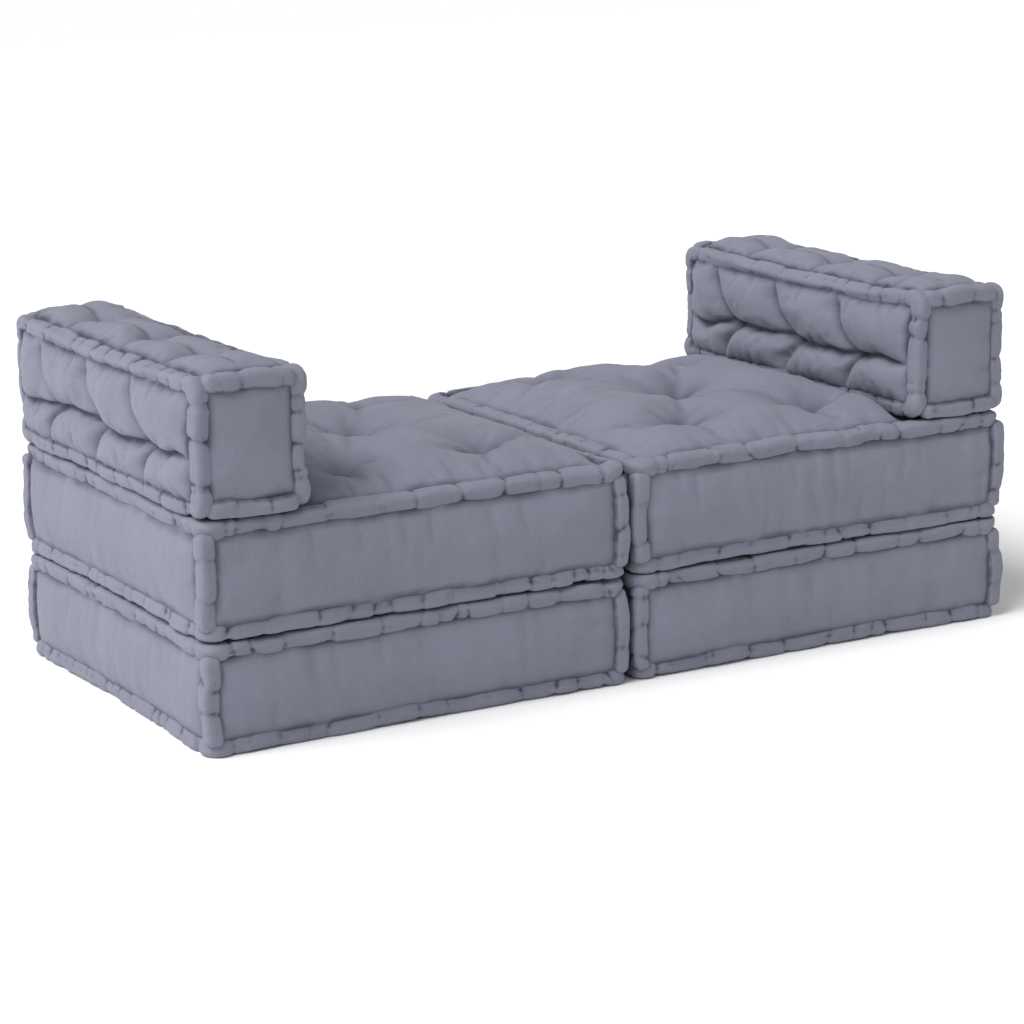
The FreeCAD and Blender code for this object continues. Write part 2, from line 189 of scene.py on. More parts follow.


# Matt woven cotton: two crossed thread waves and fine fuzz in the bump, slow mottling and uneven yarn
# in the colour, with painted shade in the creases and a painted highlight on the crests.
def clothMaterial(name, tint, mottle, threadPitch, bumpShare):
    look = clothLook
    colour = [tint * c for c in look["colour"]]
    material = bpy.data.materials.new(name)
    material.use_nodes = True
    tree = material.node_tree
    place = tree.nodes.new("ShaderNodeTexCoord").outputs
    threads = [addNode(tree, "ShaderNodeTexWave", {
        "Vector": place["UV"], "Scale": turn / (20 * threadPitch), "Distortion": 1.2,
        "Detail": 1.0, "Detail Scale": 0.6}, bands_direction=way).outputs["Fac"] for way in ("X", "Y")]
    weave = addNode(tree, "ShaderNodeMath", {0: threads[0], 1: threads[1]}, operation="MAXIMUM").outputs[0]
    fuzz = addNode(tree, "ShaderNodeTexNoise", {
        "Vector": place["Object"], "Scale": 700, "Detail": 3}).outputs["Fac"]
    crumple = addNode(tree, "ShaderNodeTexNoise", {
        "Vector": place["Object"], "Scale": 46, "Detail": 4, "Roughness": 0.55,
        "Distortion": 0.7}).outputs["Fac"]
    patches = addNode(tree, "ShaderNodeTexNoise", {
        "Vector": place["Object"], "Scale": 11, "Detail": 5, "Roughness": 0.6}).outputs["Fac"]

    stretch = addNode(tree, "ShaderNodeMapping", {"Vector": place["UV"], "Scale": look["slubScale"]})
    slub = addNode(tree, "ShaderNodeTexNoise", {
        "Vector": stretch.outputs["Vector"], "Scale": 1.0, "Detail": 2}).outputs["Fac"]
    calmer = addNode(tree, "ShaderNodeMath", {0: patches, 1: look["patchShare"]}, operation="MULTIPLY")
    uneven = addNode(tree, "ShaderNodeMath", {
        0: slub, 1: look["slubShare"], 2: calmer.outputs[0]}, operation="MULTIPLY_ADD")
    tone = addNode(tree, "ShaderNodeValToRGB", {"Fac": uneven.outputs[0]})
    setRamp(tone, [(0.3, [c * (1 - mottle) for c in colour]), (0.7, [c * (1 + mottle) for c in colour])])
    low = addNode(tree, "ShaderNodeMath", {0: 1.0, 1: weave}, operation="SUBTRACT")
    thread = addNode(tree, "ShaderNodeMix", {
        "Factor": low.outputs[0], "A": tone.outputs["Color"], "B": (*look["threadGap"], 1)},
        data_type="RGBA", blend_type="MULTIPLY")
    # Painted light and shade: the crease attribute picks a colour from a painted highlight on crests to
    # painted shade in folds.
    crease = addNode(tree, "ShaderNodeAttribute", {}, attribute_name="crease")
    paintedShadeRamp = addNode(tree, "ShaderNodeValToRGB", {"Fac": crease.outputs["Fac"]})
    setRamp(paintedShadeRamp, [(0.0, look["crest"]), (0.3, (1, 1, 1)), (1.0, look["crease"])])
    shaded = addNode(tree, "ShaderNodeMix", {
        "Factor": 1.0, "A": thread.outputs["Result"], "B": paintedShadeRamp.outputs["Color"]},
        data_type="RGBA", blend_type="MULTIPLY")

    rough = addNode(tree, "ShaderNodeMapRange", {
        "Value": crumple, "To Min": look["roughness"][0], "To Max": look["roughness"][1]})
    folds = addNode(tree, "ShaderNodeBump", {"Height": crumple, "Strength": bumpShare, "Distance": 0.004})
    fur = addNode(tree, "ShaderNodeBump", {
        "Height": fuzz, "Normal": folds.outputs["Normal"], "Strength": 0.25, "Distance": 0.0006})
    yarn = addNode(tree, "ShaderNodeBump", {
        "Height": weave, "Normal": fur.outputs["Normal"], "Strength": 0.35, "Distance": 0.0004})
    feed(tree, tree.nodes["Principled BSDF"], {
        "Base Color": shaded.outputs["Result"], "Roughness": rough.outputs["Result"],
        "Normal": yarn.outputs["Normal"], "Sheen Weight": look["sheen"],
        "Sheen Roughness": look["sheenRoughness"], "Specular IOR Level": look["specular"]})
    return material


coverCloth = clothMaterial("coverCloth", 1, 0.10, 0.0011, 0.22)
rollCloth = clothMaterial("rollCloth", 1, 0.10, 0.0011, 0.4)
knotCloth = clothMaterial("knotCloth", 0.92, 0.06, 0.0009, 0.4)
print(f"stage: cloth made, {time.time() - started:.1f} s")


rollRadius = 0.013
drawIn = 0.006
mattressTufts = ((-0.18, -0.2), (-0.18, 0.2), (-0.06, 0.0), (0.06, -0.2), (0.06, 0.2), (0.18, 0.0))
armTuftLine = (-0.175, 0.0, 0.175)
armTuftHeight = 0.426
tuftHeld = 0.006
creaseHeld = 0.0028
cushionForm = {
    # tuftShade sets how deep the painted shade in the tuft dimples goes.
    "base": {"gridStep": 0.0085, "fill": 0.75, "spare": 0.0, "tuftShade": 0.6},
    "seat": {"gridStep": 0.0075, "fill": 0.65, "spare": 0.016, "tuftShade": 0.6},
    "arm": {"gridStep": 0.0054, "fill": 0.7, "spare": 0.02, "tuftShade": 0.3},
}


# Centre, half sizes on the roll lines and rest rise of one cushion, read from its CAD rolls.
# Local axes a, b, c follow the listed world axes; c runs from one ring of rolls to the other.
def readCushion(key, kind, outward):
    order = (1, 2, 0) if kind == "arm" else (0, 1, 2)
    rings = ("inner_roll", "outer_roll") if kind == "arm" else ("bottom_roll", "top_roll")
    boxes = [np.array([list(corner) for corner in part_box(f"{key}_{ring}")])[:, order] for ring in rings]
    if boxes[0][0][2] > boxes[1][0][2]:
        boxes.reverse()
        rings = rings[::-1]
    levels = [box[:, 2].mean() for box in boxes]
    low, high = boxes[0].min(axis=0), boxes[0].max(axis=0)
    centre = np.array([(low[0] + high[0]) / 2, (low[1] + high[1]) / 2, sum(levels) / 2])
    half = np.array([(high[0] - low[0]) / 2 - rollRadius, (high[1] - low[1]) / 2 - rollRadius,
                     (levels[1] - levels[0]) / 2])
    return {"key": key, "kind": kind, "outward": outward, "order": order, "rings": rings,
            "centre": centre, "half": half, "rise": rollRadius - 0.001, **cushionForm[kind]}


# Local points carried into the world frame.
def toWorld(spec, local):
    world = np.empty_like(local)
    world[:, spec["order"]] = local + spec["centre"]
    return world


# Surface lattice of a box: whole-number points on its six faces, and quads that face outward.
def boxShell(counts):
    corners, faceAxis = [], []
    for axis in range(3):
        one, two = (axis + 1) % 3, (axis + 2) % 3
        i, j = np.meshgrid(np.arange(counts[one]), np.arange(counts[two]), indexing="ij")
        for side in (0, counts[axis]):
            loop = []
            for di, dj in ((0, 0), (1, 0), (1, 1), (0, 1)):
                point = np.zeros(i.shape + (3,), int)
                point[..., axis] = side
                point[..., one] = i + di
                point[..., two] = j + dj
                loop.append(point)
            loop = loop if side else loop[::-1]
            corners.append(np.stack(loop, axis=2).reshape(-1, 4, 3))
            faceAxis.append(np.full(i.size, axis))
    corners = np.concatenate(corners)
    stride = max(counts) + 1
    keys = corners @ np.array([1, stride, stride * stride])
    found, quads = np.unique(keys, return_inverse=True)
    lattice = np.stack([found % stride, found // stride % stride, found // stride ** 2], axis=1)
    return lattice, quads.reshape(-1, 4), np.concatenate(faceAxis), corners


# Small puckers beside a face's four edges: waves along each edge that rise just inside the roll and
# die away towards the middle of the face.
def puckers(along, across, halfAlong, halfAcross, seed, depth, reach):
    total = np.zeros(len(along))
    for count, (run, gap) in enumerate((
        (along, halfAcross - across), (along, halfAcross + across),
        (across, halfAlong - along), (across, halfAlong + along),
    )):
        share = np.clip(gap, 0, None) / reach
        ripple = waves(run[:, None], seed * 31 + count, 0.024, 0.07)
        total += depth * ripple * share * np.exp(1 - share)
    return total


# Each function below gives a face's height above the flat between its roll lines, how firmly each point
# is held, and how far tufts and creases draw it down.
restForm = {"edge": 0.03, "tuftDepth": 0.0115, "tuftReach": 0.030}


# Face that rests on something: a quarter-circle rise from each edge, less a bell at each tuft.
def restLift(spec, face, p, q, halfP, halfQ, seed):
    edge = restForm["edge"]
    lift = spec["rise"] * ramp(halfP - np.abs(p), edge) * ramp(halfQ - np.abs(q), edge)
    for spotP, spotQ in spec["restTufts"]:
        gap = np.hypot(p - spotP, q - spotQ)
        lift = lift - restForm["tuftDepth"] * np.exp(-(gap / restForm["tuftReach"]) ** 2)
    return lift, np.ones(len(p)), np.zeros(len(p))


sideForm = {"plain": 0.018, "facing": 0.008, "edge": 0.085, "pucker": (0.0006, 0.03)}


# Plain side: a quarter-circle rise from each edge and puckers. Sides that face each other swell less.
def sideLift(spec, face, p, q, halfP, halfQ, seed):
    edge = sideForm["edge"]
    lift = sideForm[face] * ramp(halfP - np.abs(p), edge) * ramp(halfQ - np.abs(q), edge)
    lift = lift + puckers(p, q, halfP, halfQ, seed, *sideForm["pucker"])
    return lift, np.zeros(len(p)), np.zeros(len(p))


seatForm = {
    "edge": 0.13,
    "crown": 0.036,
    "armEdge": (0.152, 0.176),
    "bed": 0.174,
    "bedTuft": 0.15,
    "bedTuftReach": 0.030,
    "tuft": ((0.018, 0.012), (0.028, 0.05)),
    "foldBow": 1.6,
    "foldLength": 0.055,
    "foldStart": 0.014,
    "foldDepth": 0.009,
    "foldReach": 0.006,
    "foldHold": 0.6,
    "foldHeld": (0.003, 0.05, 0.9),
    "spokeHeight": 0.0036,
    "spokeReach": 0.04,
    "spokeWaves": (0.9, 2.2, 8),
    "creaseSpan": 0.235,
    "creaseSway": 0.006,
    "creaseEnd": 0.12,
    "creaseDepth": 0.0035,
    "creaseReach": 0.02,
    "pucker": (0.0006, 0.02),
}


# Tufted seat: a crown that is flat where the arm stands on it. Each free tuft sinks by a sharp and a
# broad exponential, with a short bowed fold to either side and waves round it, and a faint crease runs
# to each tuft nearby.
def seatLift(spec, face, p, q, halfP, halfQ, seed):
    form = seatForm
    edgeP, edgeQ = halfP - np.abs(p), halfQ - np.abs(q)
    hold, sunk = np.zeros(len(p)), np.zeros(len(p))
    outer = p * spec["outward"]
    free = 1 - ease(outer, *form["armEdge"])
    lift = crown(edgeP, form["edge"]) * crown(edgeQ, form["edge"]) * (spec["rise"] + form["crown"] * free)
    spots = spec["topTufts"]
    for number, (spotP, spotQ) in enumerate(spots):
        offP, offQ = p - spotP, q - spotQ
        gap = np.hypot(offP, offQ)
        if spotP * spec["outward"] > form["bedTuft"]:
            lift = lift - restForm["tuftDepth"] * np.exp(-gap / form["bedTuftReach"])
        else:
            sunk = falls(sunk, gap, *form["tuft"])
            bow = form["foldBow"] if number % 2 else -form["foldBow"]
            fold = np.abs(offQ - bow * offP ** 2)
            reach = np.exp(-(offP / form["foldLength"]) ** 2) * (1 - np.exp(-(gap / form["foldStart"]) ** 2))
            sunk = sunk + form["foldDepth"] * free * reach * np.exp(-fold / form["foldReach"])
            width, length, clear = form["foldHeld"]
            held = (fold < width) * (np.abs(offP) < length) * (free > clear)
            hold = np.maximum(hold, form["foldHold"] * held)
            bearing = np.arctan2(offQ, offP)
            circle = np.stack([np.cos(bearing), np.sin(bearing)], axis=1)
            spokes = waves(circle, seed * 17 + number, *form["spokeWaves"])
            near = gap / form["spokeReach"]
            lift = lift + form["spokeHeight"] * free * spokes * near * np.exp(1 - near)
        hold = np.maximum(hold, gap < tuftHeld)
        for otherP, otherQ in spots[:number]:
            run = np.array([otherP - spotP, otherQ - spotQ])
            length = np.hypot(*run)
            if length < form["creaseSpan"]:
                share = (offP * run[0] + offQ * run[1]) / length ** 2
                off = (offP * run[1] - offQ * run[0]) / length
                off = off + form["creaseSway"] * np.sin(share * turn + number)
                inside = ease(share, 0.0, form["creaseEnd"]) * ease(1 - share, 0.0, form["creaseEnd"])
                crease = np.exp(-np.abs(off) / form["creaseReach"])
                sunk = sunk + form["creaseDepth"] * inside * free * crease
    lift = lift - sunk + puckers(p, q, halfP, halfQ, seed, *form["pucker"])
    hold = np.maximum(hold, outer > form["bed"])
    return lift, hold, sunk


pillowForm = {
    "crown": 0.032,
    "edges": (0.065, 0.06),
    "sway": (0.004, 0.35),
    "wander": (0.003, 0.08, 0.2),
    "row": ((0.018, 0.008), (0.013, 0.032)),
    "rowEnd": 0.06,
    "rowHold": 0.9,
    "bow": (0.058, 0.034),
    "steep": (0.9, 0.5),
    "upright": ((0.014, 0.007), (0.011, 0.028)),
    "uprightEnd": (0.004, 0.045),
    "uprightHold": 0.8,
    "uprightHeld": 0.4,
    "tuft": ((0.010, 0.016),),
    "deepest": -0.022,
    "pucker": (0.0007, 0.014),
    "lean": 0.011,
    "leanLift": 0.02,
    "leanMost": 1.2,
    "leanAt": 0.018,
    "leanReach": 0.022,
}


# Quilted face of an arm: a crown cut into two rows of four pillows by a swaying crease along the row of
# tufts and a bowed crease up and down from each tuft. Each crease is a sharp and a broad exponential.
def pillowLift(spec, face, p, q, halfP, halfQ, seed):
    form, row = pillowForm, spec["tuftRow"]
    edgeP, edgeQ = halfP - np.abs(p), halfQ - np.abs(q)
    lift = form["crown"] * crown(edgeP, form["edges"][0]) * crown(edgeQ, form["edges"][1])
    height, shortest, longest = form["wander"]
    sway = form["sway"][0] * np.sin(p * turn / form["sway"][1])
    sway = sway + height * waves(p[:, None], seed + 5, shortest, longest)
    across = np.abs(q - row - sway)
    inner = ease(edgeP, 0.0, form["rowEnd"])
    sunk = falls(0, across, *form["row"]) * inner
    hold = np.maximum(np.zeros(len(p)), form["rowHold"] * (across < creaseHeld) * inner)
    upper = np.clip((q - row) / (halfQ - row), 0, 1)
    lower = np.clip((row - q) / (halfQ + row), 0, 1)
    bow = form["bow"][0] * (1 - (1 - upper) ** 2) + form["bow"][1] * (1 - (1 - lower) ** 2)
    rising = form["steep"][0] * (1 - upper) * (upper > 0)
    steep = np.hypot(1, rising + form["steep"][1] * (1 - lower) * (lower > 0))
    deep = ease(edgeQ, *form["uprightEnd"])
    for spot in armTuftLine:
        upright = np.abs(p - spot - bow) / steep
        sunk = sunk + falls(0, upright, *form["upright"]) * deep
        held = (upright < creaseHeld) * (deep > form["uprightHeld"])
        hold = np.maximum(hold, form["uprightHold"] * held)
        gap = np.hypot(p - spot, q - row)
        sunk = falls(sunk, gap, *form["tuft"])
        hold = np.maximum(hold, gap < tuftHeld)
    lift = np.maximum(lift - sunk, form["deepest"])
    return lift + puckers(p, q, halfP, halfQ, seed, *form["pucker"]), hold, sunk


crestForm = {
    "crown": 0.025,
    "edges": (0.05, 0.055),
    "tuft": ((0.012, 0.010), (0.010, 0.03)),
    "crossSway": (0.008, 40, 20),
    "cross": (0.011, 0.010),
    "crossEnd": 0.03,
    "crossHold": 0.6,
    "crossHeld": 0.02,
    "seamSway": (0.006, 30),
    "seam": (0.010, 0.010),
    "seamEnd": 0.05,
    "pucker": (0.0009, 0.014),
}


# Top of an arm: a crown with a tuft and a swaying crease across it at each tuft, and one crease along it.
def crestLift(spec, face, p, q, halfP, halfQ, seed):
    form = crestForm
    edgeP, edgeQ = halfP - np.abs(p), halfQ - np.abs(q)
    hold, sunk = np.zeros(len(p)), np.zeros(len(p))
    lift = form["crown"] * crown(edgeP, form["edges"][0]) * crown(edgeQ, form["edges"][1])
    for spot in armTuftLine:
        gap = np.hypot(p, q - spot)
        sunk = falls(sunk, gap, *form["tuft"])
        hold = np.maximum(hold, gap < tuftHeld)
        width, rate, shift = form["crossSway"]
        cross = np.abs(q - spot - width * np.sin(p * rate + spot * shift))
        sunk = sunk + falls(0, cross, form["cross"]) * ease(edgeP, 0.0, form["crossEnd"])
        held = (cross < creaseHeld) * (edgeP > form["crossHeld"])
        hold = np.maximum(hold, form["crossHold"] * held)
    seam = np.abs(p - form["seamSway"][0] * np.sin(q * form["seamSway"][1]))
    sunk = sunk + falls(0, seam, form["seam"]) * ease(edgeQ, 0.0, form["seamEnd"])
    lift = lift - sunk + puckers(p, q, halfP, halfQ, seed, *form["pucker"])
    return lift, hold, sunk


faceLift = {"rest": restLift, "plain": sideLift, "facing": sideLift, "seat": seatLift,
            "pillow": pillowLift, "crest": crestLift}
wanderForm = {"height": 0.0016, "waves": (0.06, 0.3), "edge": 0.04}


# Cushion before the cloth settles: the box between the roll lines, drawn in along its sides,
# with each face raised by its own height, and the points that the sewing holds.
def cushionShell(spec, seed):
    half = spec["half"]
    counts = [max(8, int(round(2 * size / spec["gridStep"]))) for size in half]
    lattice, quads, faceAxis, corners = boxShell(counts)
    share = 2 * lattice / np.array(counts) - 1
    flat = share * half
    local = flat.copy()
    local[:, 0] -= drawIn * share[:, 0] * (1 - share[:, 1] ** 2)
    ends = np.clip(share[:, 1], 0, 1) if spec["kind"] == "arm" else share[:, 1]
    local[:, 1] -= drawIn * ends * (1 - share[:, 0] ** 2)
    hold = np.zeros(len(local))
    onFace = np.abs(share) > 1 - 1e-9
    hold[onFace.sum(axis=1) > 1] = 1
    edgeGap = np.full(len(local), 1.0)
    quilted = np.zeros(len(local), bool)
    sunk = np.zeros(len(local))
    for (axis, side), face in spec["faces"].items():
        here = np.where(lattice[:, axis] == (counts[axis] if side > 0 else 0))[0]
        one, two = (axis + 1) % 3, (axis + 2) % 3
        p, q = flat[here, one], flat[here, two]
        faceSeed = seed * 11 + axis * 2 + (side > 0)
        lift, held, low = faceLift[face](spec, face, p, q, half[one], half[two], faceSeed)
        local[here, axis] += side * lift
        hold[here] = np.maximum(hold[here], held)
        sunk[here] = np.maximum(sunk[here], low)
        quilted[here] |= face in ("seat", "pillow", "crest")
        edgeGap[here] = np.minimum(edgeGap[here], np.minimum(half[one] - np.abs(p), half[two] - np.abs(q)))
        if face == "pillow":
            form, above = pillowForm, q - spec["tuftRow"]
            lean = form["lean"] * np.clip(lift / form["leanLift"], 0, form["leanMost"])
            lean = lean * np.exp(-np.abs(above - form["leanAt"]) / form["leanReach"])
            local[here, two] -= np.where((above > 0) & (held < form["rowHold"]), lean, 0)
    loose = hold < 0.5
    wander = np.stack([waves(local, seed * 7 + k, *wanderForm["waves"]) for k in range(3)], axis=1)
    calm = ease(edgeGap, 0.0, wanderForm["edge"])[:, None]
    local[loose] += (wanderForm["height"] * wander * calm)[loose]
    one, two = (faceAxis + 1) % 3, (faceAxis + 2) % 3
    rows = np.arange(len(quads))[:, None]
    cells = corners * (2 * half / np.array(counts))
    weave = np.stack([cells[rows, np.arange(4), way[:, None]] for way in (one, two)], axis=2)
    return {"local": local, "quads": quads, "hold": hold, "edgeGap": edgeGap, "weave": weave, "flat": flat,
            "share": share, "quilted": quilted, "sunk": sunk}


cushions = []
for side, outward in (("left", -1), ("right", 1)):
    spots = [(outward * u, v) for u, v in mattressTufts]
    mattressSides = {(0, outward): "plain", (0, -outward): "facing", (1, 1): "plain", (1, -1): "plain"}
    for kind, top in (("base", "rest"), ("seat", "seat")):
        mattress = readCushion(f"{side}_{kind}", kind, outward)
        faces = {**mattressSides, (2, 1): top, (2, -1): "rest"}
        mattress.update(faces=faces, restTufts=spots, topTufts=spots)
        cushions.append(mattress)
    arm = readCushion(f"{side}_arm", "arm", outward)
    arm.update(faces={(2, 1): "pillow", (2, -1): "pillow", (1, 1): "crest", (1, -1): "rest",
                      (0, 1): "plain", (0, -1): "plain"}, restTufts=[],
               tuftRow=armTuftHeight - arm["centre"][1])
    cushions.append(arm)

for number, spec in enumerate(cushions):
    spec["seed"] = number + 3
    spec["shell"] = cushionShell(spec, spec["seed"])
print(f"stage: cushion shells made, {time.time() - started:.1f} s")


settling = {
    "quality": 6,
    "mass": 0.0012,
    "air_damping": 2.0,
    "tension_stiffness": 12,
    "compression_stiffness": 8,
    "shear_stiffness": 4,
    "bending_stiffness": 0.004,
    "use_pressure": True,
    "uniform_pressure_force": 5.0,
    "pin_stiffness": 1.0,
}
settleFrames = 20
settleCap = 0.022


# Cloth over filling: each shell is blown up a little against its sewn points, with spare cloth that
# falls into wrinkles, and no point moves further than the cap.
def settle(specs, frames, cap):
    bodies = []
    for spec in specs:
        shell = spec["shell"]
        mesh = bpy.data.meshes.new("settling")
        mesh.from_pydata(shell["local"].tolist(), [], shell["quads"].tolist())
        body = bpy.data.objects.new("settling", mesh)
        scene.collection.objects.link(body)
        tight = body.vertex_groups.new(name="tight")
        tight.add(np.where(~shell["quilted"])[0].tolist(), 1.0, "REPLACE")
        group = body.vertex_groups.new(name="sewn")
        for level in np.unique(np.round(shell["hold"], 2)):
            if level > 0:
                chosen = np.where(np.round(shell["hold"], 2) == level)[0]
                group.add(chosen.tolist(), float(level), "REPLACE")
        cloth = body.modifiers.new("cloth", "CLOTH")
        setup = cloth.settings
        for key, value in settling.items():
            setattr(setup, key, value)
        setup.vertex_group_shrink = "tight"
        setup.shrink_max = 0
        setup.shrink_min = -spec["spare"]
        setup.vertex_group_mass = "sewn"
        setup.effector_weights.gravity = 0
        cloth.collision_settings.use_collision = False
        cloth.collision_settings.use_self_collision = False
        cloth.point_cache.frame_start = 1
        cloth.point_cache.frame_end = frames
        bodies.append(body)
    for step in range(1, frames + 1):
        scene.frame_set(step)
    view = bpy.context.evaluated_depsgraph_get()
    for spec, body in zip(specs, bodies):
        shaped = body.evaluated_get(view).to_mesh()
        settled = np.empty(len(shaped.vertices) * 3, np.float32)
        shaped.vertices.foreach_get("co", settled)
        move = settled.reshape(-1, 3) - spec["shell"]["local"]
        length = np.linalg.norm(move, axis=1, keepdims=True)
        print(f"stage: {spec['key']} settled, mean {length.mean() * 1000:.2f} mm, "
              f"most {length.max() * 1000:.1f} mm")
        share = np.minimum(1, cap / np.maximum(length, 1e-9))
        spec["shell"]["local"] = spec["shell"]["local"] + move * share
        bpy.data.objects.remove(body)
    scene.frame_set(1)


settle(cushions, settleFrames, settleCap)
print(f"stage: cloth settled, {time.time() - started:.1f} s")


coverForm = {
    "crownLimit": 0.055,
    "plainShade": 0.3,
    # The seam values set the painted shade beside the rolls; deepest and depthPower the painted shade in the
    # dimples.
    "seamShade": 0.9,
    "seamStart": 0.0128,
    "seamReach": 0.0024,
    "seamMean": 0.85,
    "seamSpread": 0.3,
    "seamWaves": (0.02, 0.09),
    "seamLimits": (0.3, 1.15),
    "deepest": 0.042,
    "depthPower": 1.5,
}


# The settled cover is pressed flat against what it rests on, then subdivided once. Its painted shade is
# deeper by an exponential beside the rolls, where shade falls between roll and panel, uneven along them,
# and by a power of how far it is drawn down, as painted shade in the tuft dimples and creases.
def coverPiece(spec):
    shell, form = spec["shell"], coverForm
    local = shell["local"]
    for (axis, side), face in spec["faces"].items():
        top = spec["half"][axis] + spec["rise"]
        if face == "rest":
            local[:, axis] = np.minimum(local[:, axis] * side, top) * side
        if face == "seat":
            outer = local[:, 0] * spec["outward"]
            limit = top + form["crownLimit"] * (1 - ease(outer, *seatForm["armEdge"]))
            local[:, axis] = np.minimum(local[:, axis], limit)
    # Painted shade along the line where each roll meets the panel, uneven along it.
    uneven = form["seamSpread"] * waves(shell["flat"], spec["seed"] * 7 + 9, *form["seamWaves"])
    uneven = np.clip(form["seamMean"] + uneven, *form["seamLimits"])
    beyond = np.clip(shell["edgeGap"] - form["seamStart"], 0, None)
    shades = form["plainShade"] + form["seamShade"] * uneven * np.exp(-beyond / form["seamReach"])
    # Painted shade in the dimples drawn down by tufts and creases.
    drawn = np.clip(shell["sunk"] / form["deepest"], 0, 1) ** form["depthPower"]
    shades = shades + spec["tuftShade"] * drawn
    piece = makePiece(f"{spec['key']}_cover", toWorld(spec, local), shell["quads"].tolist(),
                      shell["weave"], shades)
    finer = piece.modifiers.new("finer", "SUBSURF")
    finer.levels = finer.render_levels = 1
    finer.boundary_smooth = "PRESERVE_CORNERS"
    piece.data.materials.append(coverCloth)
    panels = ["outer_panel", "inner_panel", "top_panel", "bottom_panel", "end_panels"]
    if spec["kind"] != "arm":
        panels = ["top_panel", "bottom_panel", "side_panels"]
    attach(piece, spec["key"])
    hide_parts(*(f"{spec['key']}_{panel}" for panel in [*panels, "filling"]))


for spec in cushions:
    coverPiece(spec)
print(f"stage: covers made, {time.time() - started:.1f} s")


# Evenly spaced points on a polyline, closed or open, and its length.
def resample(points, step, closed):
    if closed:
        points = np.concatenate([points, points[:1]])
    lengths = np.concatenate([[0], np.cumsum(np.linalg.norm(np.diff(points, axis=0), axis=1))])
    count = max(6, int(round(lengths[-1] / step)))
    marks = np.linspace(0, lengths[-1], count + 1)
    if closed:
        marks = marks[:-1]
    return np.stack([np.interp(marks, lengths, points[:, k]) for k in range(3)], axis=1), lengths[-1]


rollInset = 0.002
ringForm = {
    "radius": 0.0134,
    "step": 0.0024,
    "stitchRange": (0.022, 0.085),
    "depthRange": (0.10, 0.46),
    "samples": 400,
    "fineStep": 0.001,
    "rounding": 17,
    "turnStart": 0.9,
    "lean": 0.6,
    "ear": (0.12, 0.016),
    "neck": (0.18, 0.03, 0.005),
}
joinForm = {
    "radius": 0.0138,
    "step": 0.0034,
    "stitchRange": (0.03, 0.085),
    "depthRange": (0.10, 0.36),
    "samples": 60,
    "bow": 0.003,
    "shortBy": 0.004,
}


# Ring of one cushion face: a rectangle on the roll lines, drawn in between its corners, with the
# corners rounded by a running average.
def ringLine(spec, level):
    half = spec["half"]
    run = np.linspace(-1, 1, ringForm["samples"], endpoint=False)
    one = np.ones_like(run)
    a = np.concatenate([run, one, -run, -one])
    b = np.concatenate([-one, run, one, -run])
    x = (half[0] - rollInset) * a - drawIn * a * (1 - b ** 2)
    down = np.clip(b, 0, 1) if spec["kind"] == "arm" else b
    y = (half[1] - rollInset) * b - drawIn * down * (1 - a ** 2)
    path = resample(np.stack([x, y, np.full_like(x, level)], axis=1), ringForm["fineStep"], True)[0]
    width = ringForm["rounding"]
    kernel = np.ones(2 * width + 1) / (2 * width + 1)
    padded = np.concatenate([path[-width:], path, path[:width]])
    smooth = np.stack([np.convolve(padded[:, k], kernel, "valid") for k in range(3)], axis=1)
    return resample(smooth, ringForm["step"], True)


rollForm = {
    "around": 24,
    "squareness": 3.4,
    "bite": (0.35, 0.65),
    "depthPower": 1.8,
    "slant": 0.45,
    "pinch": ((0.8, 0.003), (0.2, 0.011)),
    "pinchMost": 0.55,
    "gather": (0.05, 0.012),
    "gatherFolds": (4, 8),
    "pullReach": 0.012,
    "pullShare": (0.3, 1),
    "pullDepth": 0.002,
    "pullMost": 1.2,
    "swell": (0.02, 0.05, 0.3),
    "ownSwell": 0.05,
    "ownMost": 1.6,
    "fine": (0.008, 0.03, 20),
    "fineHeight": 0.0002,
    "endRound": 0.012,
    "endStart": 0.0006,
    "sway": 0.0009,
    "swayWaves": (0.06, 0.25),
    "ownSway": 0.0010,
    # The tucked and shade values paint shade where the roll tucks against the panel and at each stitch pinch.
    "tuckedFrom": (1.3, 1.65),
    "tuckedMean": 0.85,
    "tuckedSpread": 0.2,
    "tuckedLimits": (0.4, 1.1),
    "plainShade": 0.32,
    "pinchShade": 1.5,
    "pinchShadeMost": 0.5,
    "tuckedShade": 0.68,
}


